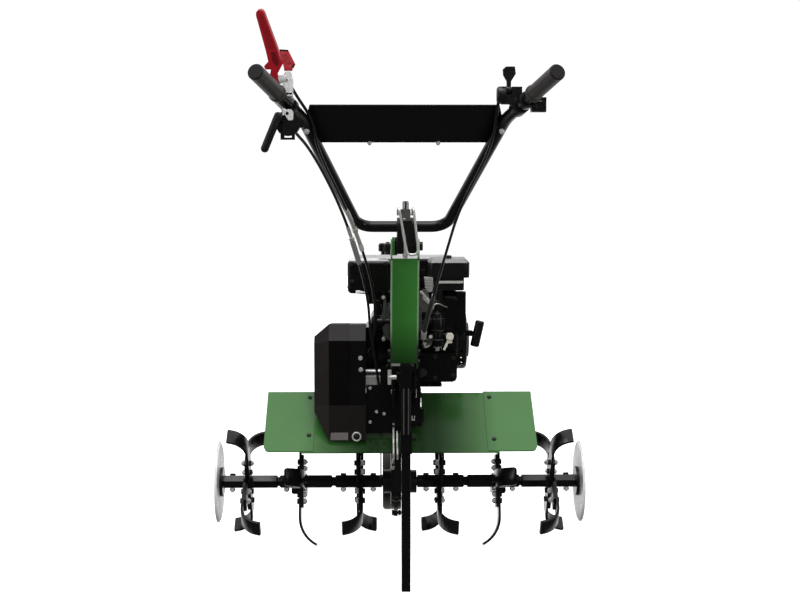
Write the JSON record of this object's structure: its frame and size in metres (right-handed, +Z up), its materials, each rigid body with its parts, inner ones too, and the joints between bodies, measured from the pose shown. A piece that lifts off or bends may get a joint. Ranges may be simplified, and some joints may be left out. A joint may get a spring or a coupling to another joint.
{
  "type": "garden tiller",
  "caption": "Walk-behind petrol tiller: bolted tine rotor under green mud guards, belt-driven gearbox leg, engine, adjustable handlebar with controls, depth stake and front wheel.",
  "frame": {"origin": "middle of the bounding box's footprint, on the floor", "axes": "+Z up, +Y forward (away from the operator), +X to the operator's right; the tine axle runs along X"},
  "size_m": [0.948, 1.3238, 1.2963],
  "materials": {
    "black_paint": "gloss powder coat",
    "green_paint": "gloss paint",
    "galvanised": "galvanised",
    "zinc_bolt": "zinc plated",
    "steel": "machined",
    "cast_iron": "painted black",
    "aluminium": "die cast",
    "engine_black": "black die cast",
    "black_plastic": "satin",
    "red_plastic": "gloss",
    "rubber": "matte",
    "tyre": "matte",
    "chrome": "bright"
  },
  "bodies": {
    "chassis": {"air_cleaner_base": "black_plastic", "air_cleaner_cover": "black_plastic", "bearings_and_seals": "steel", "belt_back_plate": "black_paint", "belt_cover": "black_plastic", "carburetor": "aluminium", "chassis_bolts": "zinc_bolt", "clutch_cable": "rubber", "cylinder_head": "aluminium", "drive_belts": "rubber", "drive_chain": "steel", "engine_block": "engine_black", "engine_frame": "black_paint", "fan_cover": "black_paint", "fuel_tank": "black_paint", "gearbox_case_left": "cast_iron", "gearbox_case_right": "cast_iron", "handlebar_column": "green_paint", "mud_guards": "green_paint", "muffler": "black_paint", "rear_bracket": "black_paint", "recoil_cover": "black_plastic", "reverse_cable": "rubber", "spark_plug": "black_plastic", "throttle_cable": "rubber"},
    "rotor": {"tine_axle": "black_paint", "inner_hubs": "black_paint", "middle_hubs": "black_paint", "outer_hubs": "black_paint", "tines": "black_paint", "plant_discs": "galvanised", "rotor_bolts": "zinc_bolt"},
    "counter": {"counter_shaft": "steel"},
    "input": {"input_shaft": "steel", "driven_pulley": "cast_iron"},
    "crank": {"crankshaft": "steel", "flywheel": "aluminium", "drive_pulley": "cast_iron"},
    "tensioner": {"tensioner_arm": "steel"},
    "idler": {"idler_pulley": "steel"},
    "wheel_arm": {"wheel_arm": "black_paint"},
    "front_wheel": {"front_wheel": "tyre"},
    "depth_stake": {"depth_stake": "black_paint"},
    "stake_screw": {"stake_screw": "zinc_bolt"},
    "handlebar": {"handlebar_tube": "black_paint", "control_panel": "black_paint", "handlebar_clamp": "cast_iron", "handle_grips": "rubber", "lever_bracket": "aluminium", "reverse_housing": "black_plastic", "throttle_housing": "black_plastic", "stop_switch": "black_plastic"},
    "clamp_lever": {"clamp_lever": "chrome"},
    "clutch_lever": {"clutch_lever": "red_plastic"},
    "clutch_lock": {"clutch_lock": "red_plastic"},
    "reverse_lever": {"reverse_lever": "black_plastic"},
    "throttle_lever": {"throttle_lever": "black_plastic"},
    "stop_button": {"stop_button": "red_plastic"},
    "recoil_handle": {"recoil_handle": "black_plastic"},
    "fuel_cap": {"fuel_cap": "black_plastic"}
  },
  "joints": [
    {"name": "tine_spin", "type": "hinge", "parent": "chassis", "child": "rotor", "pos_m": [0, 0.20941, 0.16375], "axis": [1, 0, 0], "continuous": true},
    {"name": "counter_spin", "type": "hinge", "parent": "chassis", "child": "counter", "pos_m": [0, 0.16941, 0.39292], "axis": [1, 0, 0], "continuous": true},
    {"name": "input_spin", "type": "hinge", "parent": "chassis", "child": "input", "pos_m": [0, 0.14941, 0.46], "axis": [1, 0, 0], "continuous": true},
    {"name": "crank_spin", "type": "hinge", "parent": "chassis", "child": "crank", "pos_m": [0, 0.34441, 0.52], "axis": [1, 0, 0], "continuous": true},
    {"name": "tensioner_swing", "type": "hinge", "parent": "chassis", "child": "tensioner", "pos_m": [0, 0.19441, 0.503], "axis": [1, 0, 0], "range_deg": [0, 12], "deforming": ["drive_belts"]},
    {"name": "idler_spin", "type": "hinge", "parent": "tensioner", "child": "idler", "pos_m": [0, 0.25441, 0.513], "axis": [1, 0, 0], "continuous": true},
    {"name": "wheel_fold", "type": "hinge", "parent": "chassis", "child": "wheel_arm", "pos_m": [0, 0.63741, 0.296], "axis": [1, 0, 0], "range_deg": [0, 100]},
    {"name": "wheel_spin", "type": "hinge", "parent": "wheel_arm", "child": "front_wheel", "pos_m": [0, 0.57941, 0.0825], "axis": [1, 0, 0], "continuous": true},
    {"name": "stake_slide", "type": "slide", "parent": "chassis", "child": "depth_stake", "axis": [0, 0, 1], "range_m": [0, 0.15]},
    {"name": "stake_screw_turn", "type": "hinge", "parent": "chassis", "child": "stake_screw", "pos_m": [-0.03, -0.21059, 0.503], "axis": [1, 0, 0], "range_deg": [0, 360]},
    {"name": "handlebar_tilt", "type": "hinge", "parent": "chassis", "child": "handlebar", "pos_m": [0, -0.10259, 0.798], "axis": [1, 0, 0], "range_deg": [-12, 20], "deforming": ["clutch_cable", "reverse_cable", "throttle_cable"]},
    {"name": "clamp_open", "type": "hinge", "parent": "handlebar", "child": "clamp_lever", "pos_m": [0, -0.15859, 0.876], "axis": [1, 0, 0], "range_deg": [-100, 0]},
    {"name": "clutch_squeeze", "type": "hinge", "parent": "handlebar", "child": "clutch_lever", "pos_m": [-0.262, -0.52859, 1.16], "axis": [-0.9473, 0.2851, -0.146], "range_deg": [-42, 0], "stiffness_Nm_per_rad": 3, "springref_deg": 11.46},
    {"name": "lock_press", "type": "hinge", "parent": "handlebar", "child": "clutch_lock", "pos_m": [-0.237, -0.52159, 1.184], "axis": [1, 0, 0], "range_deg": [0, 15], "stiffness_Nm_per_rad": 0.4, "springref_deg": -8.59},
    {"name": "reverse_pull", "type": "hinge", "parent": "handlebar", "child": "reverse_lever", "pos_m": [-0.252, -0.53259, 1.086], "axis": [1, 0, 0], "range_deg": [-35, 0], "stiffness_Nm_per_rad": 2, "springref_deg": 11.46},
    {"name": "throttle_set", "type": "hinge", "parent": "handlebar", "child": "throttle_lever", "pos_m": [0.212, -0.49659, 1.142], "axis": [1, 0, 0], "range_deg": [-35, 35]},
    {"name": "stop_press", "type": "slide", "parent": "handlebar", "child": "stop_button", "axis": [0, 1, 0], "range_m": [0, 0.003], "stiffness_N_per_m": 900, "springref_m": -0.002},
    {"name": "recoil_pull", "type": "slide", "parent": "chassis", "child": "recoil_handle", "axis": [0.7071, -0.7071, 0], "range_m": [0, 0.4], "stiffness_N_per_m": 25, "springref_m": -0.3},
    {"name": "cap_turn", "type": "hinge", "parent": "chassis", "child": "fuel_cap", "pos_m": [-0.026, 0.41541, 0.76], "axis": [0, 0, 1], "range_deg": [0, 90]}
  ],
  "couplings": [
    {"joint": "counter_spin", "follows": "tine_spin", "ratio": 3},
    {"joint": "input_spin", "follows": "tine_spin", "ratio": -10.125},
    {"joint": "tensioner_swing", "follows": "clutch_squeeze", "ratio": -0.28571}
  ]
}
